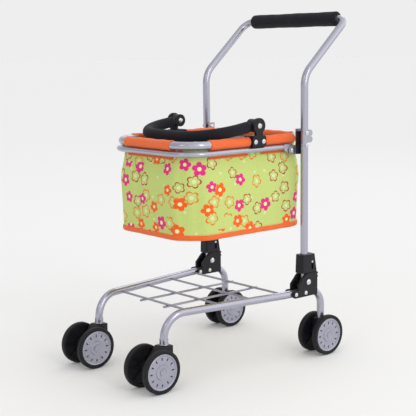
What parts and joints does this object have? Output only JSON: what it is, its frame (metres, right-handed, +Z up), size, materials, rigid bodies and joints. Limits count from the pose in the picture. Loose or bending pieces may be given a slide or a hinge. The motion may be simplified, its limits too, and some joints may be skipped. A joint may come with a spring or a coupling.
{
  "type": "toy shopping trolley",
  "caption": "Child's folding shopping trolley: bent-tube base on twin wheels, wire shelf, upright push handle and a lift-out floral fabric basket in a hoop.",
  "frame": {"origin": "on the floor, centre of the bounding box in plan, midway between the front tyres and the back of the push grip", "axes": "+Z up, +Y towards the push handle (the trolley rolls towards -Y), +X to the left of the child who pushes it"},
  "size_m": [0.3, 0.4608, 0.6],
  "materials": {
    "tube_silver": "satin silver lacquer on steel tube",
    "wire_silver": "silver lacquer on steel wire",
    "plate_steel": "pressed steel, zinc plated",
    "rivet_steel": "bright rivets and bolts",
    "black_plastic": "moulded black plastic",
    "grip_foam": "black closed-cell foam",
    "orange_fabric": "plain woven orange cloth",
    "print_fabric": "lime green cloth with a printed flower pattern",
    "board_white": "pale stiffening board",
    "tyre_black": "black moulded wheel with a soft tread",
    "disc_silver": "silver moulded plastic"
  },
  "bodies": {
    "base": {"side_tube_left": "tube_silver", "side_tube_right": "tube_silver", "shelf_grid": "wire_silver", "fold_bracket_left": "black_plastic", "fold_bracket_right": "black_plastic", "bracket_rivets": "rivet_steel", "rear_axle_block_left": "black_plastic", "rear_axle_block_right": "black_plastic", "rear_axle_left": "rivet_steel", "rear_axle_right": "rivet_steel", "caster_collars": "black_plastic", "swivel_pins": "rivet_steel", "fold_pivot_pins": "rivet_steel"},
    "push_handle": {"push_handle_tube": "tube_silver", "push_grip": "grip_foam", "hoop_plates": "plate_steel", "hoop_spacers": "black_plastic", "rear_clips": "plate_steel", "clamp_rivets": "rivet_steel", "hoop_pivot_rivets": "rivet_steel", "latch_blocks": "black_plastic", "latch_pins": "rivet_steel"},
    "sleeve_left": {"lock_sleeve_left": "black_plastic"},
    "sleeve_right": {"lock_sleeve_right": "black_plastic"},
    "hoop": {"support_hoop": "tube_silver"},
    "basket": {"basket_rim": "tube_silver", "rim_sleeve_front": "orange_fabric", "rim_sleeve_rear": "orange_fabric", "rim_sleeves_left": "orange_fabric", "rim_sleeves_right": "orange_fabric", "bag": "print_fabric", "bottom_board": "board_white", "bag_piping": "orange_fabric", "handle_bracket_left": "black_plastic", "handle_bracket_right": "black_plastic", "bracket_bolts": "rivet_steel"},
    "carry_handle": {"basket_handle_tube": "tube_silver", "basket_handle_foam": "grip_foam", "handle_knuckles": "black_plastic", "handle_pivot_bolts": "rivet_steel"},
    "caster_left": {"caster_housing_left": "black_plastic", "front_axle_left": "rivet_steel"},
    "caster_right": {"caster_housing_right": "black_plastic", "front_axle_right": "rivet_steel"},
    "wheel_front_left_outer_body": {"wheel_front_left_outer": "tyre_black", "disc_front_left_outer": "disc_silver"},
    "wheel_front_left_inner_body": {"wheel_front_left_inner": "tyre_black", "disc_front_left_inner": "disc_silver"},
    "wheel_front_right_outer_body": {"wheel_front_right_outer": "tyre_black", "disc_front_right_outer": "disc_silver"},
    "wheel_front_right_inner_body": {"wheel_front_right_inner": "tyre_black", "disc_front_right_inner": "disc_silver"},
    "wheel_rear_left_outer_body": {"wheel_rear_left_outer": "tyre_black", "disc_rear_left_outer": "disc_silver"},
    "wheel_rear_left_inner_body": {"wheel_rear_left_inner": "tyre_black", "disc_rear_left_inner": "disc_silver"},
    "wheel_rear_right_outer_body": {"wheel_rear_right_outer": "tyre_black", "disc_rear_right_outer": "disc_silver"},
    "wheel_rear_right_inner_body": {"wheel_rear_right_inner": "tyre_black", "disc_rear_right_inner": "disc_silver"}
  },
  "joints": [
    {"name": "post_fold", "type": "hinge", "parent": "base", "child": "push_handle", "pos_m": [0, 0.11265, 0.136], "axis": [1, 0, 0], "range_deg": [0, 45]},
    {"name": "hoop_level", "type": "hinge", "parent": "push_handle", "child": "hoop", "pos_m": [0, 0.09665, 0.365], "axis": [1, 0, 0], "range_deg": [-45, 0]},
    {"name": "basket_lift", "type": "slide", "parent": "hoop", "child": "basket", "axis": [0, 0, 1], "range_m": [0, 0.15]},
    {"name": "carry_handle_swing", "type": "hinge", "parent": "basket", "child": "carry_handle", "pos_m": [0, 0.02065, 0.4106], "axis": [-1, 0, 0], "range_deg": [0, 155]},
    {"name": "lock_sleeve_left_lift", "type": "slide", "parent": "push_handle", "child": "sleeve_left", "axis": [0, 0, 1], "range_m": [0, 0.011]},
    {"name": "lock_sleeve_right_lift", "type": "slide", "parent": "push_handle", "child": "sleeve_right", "axis": [0, 0, 1], "range_m": [0, 0.011]},
    {"name": "caster_left_swivel", "type": "hinge", "parent": "base", "child": "caster_left", "pos_m": [0.091, -0.16985, 0.07], "axis": [0, 0, 1], "continuous": true},
    {"name": "caster_right_swivel", "type": "hinge", "parent": "base", "child": "caster_right", "pos_m": [-0.091, -0.16985, 0.07], "axis": [0, 0, 1], "continuous": true},
    {"name": "wheel_front_left_outer_spin", "type": "hinge", "parent": "caster_left", "child": "wheel_front_left_outer_body", "pos_m": [0, -0.19485, 0.0355], "axis": [1, 0, 0], "continuous": true},
    {"name": "wheel_front_left_inner_spin", "type": "hinge", "parent": "caster_left", "child": "wheel_front_left_inner_body", "pos_m": [0, -0.19485, 0.0355], "axis": [1, 0, 0], "continuous": true},
    {"name": "wheel_front_right_outer_spin", "type": "hinge", "parent": "caster_right", "child": "wheel_front_right_outer_body", "pos_m": [0, -0.19485, 0.0355], "axis": [1, 0, 0], "continuous": true},
    {"name": "wheel_front_right_inner_spin", "type": "hinge", "parent": "caster_right", "child": "wheel_front_right_inner_body", "pos_m": [0, -0.19485, 0.0355], "axis": [1, 0, 0], "continuous": true},
    {"name": "wheel_rear_left_outer_spin", "type": "hinge", "parent": "base", "child": "wheel_rear_left_outer_body", "pos_m": [0, 0.15415, 0.0355], "axis": [1, 0, 0], "continuous": true},
    {"name": "wheel_rear_left_inner_spin", "type": "hinge", "parent": "base", "child": "wheel_rear_left_inner_body", "pos_m": [0, 0.15415, 0.0355], "axis": [1, 0, 0], "continuous": true},
    {"name": "wheel_rear_right_outer_spin", "type": "hinge", "parent": "base", "child": "wheel_rear_right_outer_body", "pos_m": [0, 0.15415, 0.0355], "axis": [1, 0, 0], "continuous": true},
    {"name": "wheel_rear_right_inner_spin", "type": "hinge", "parent": "base", "child": "wheel_rear_right_inner_body", "pos_m": [0, 0.15415, 0.0355], "axis": [1, 0, 0], "continuous": true}
  ],
  "couplings": [
    {"joint": "hoop_level", "follows": "post_fold", "ratio": -1}
  ]
}
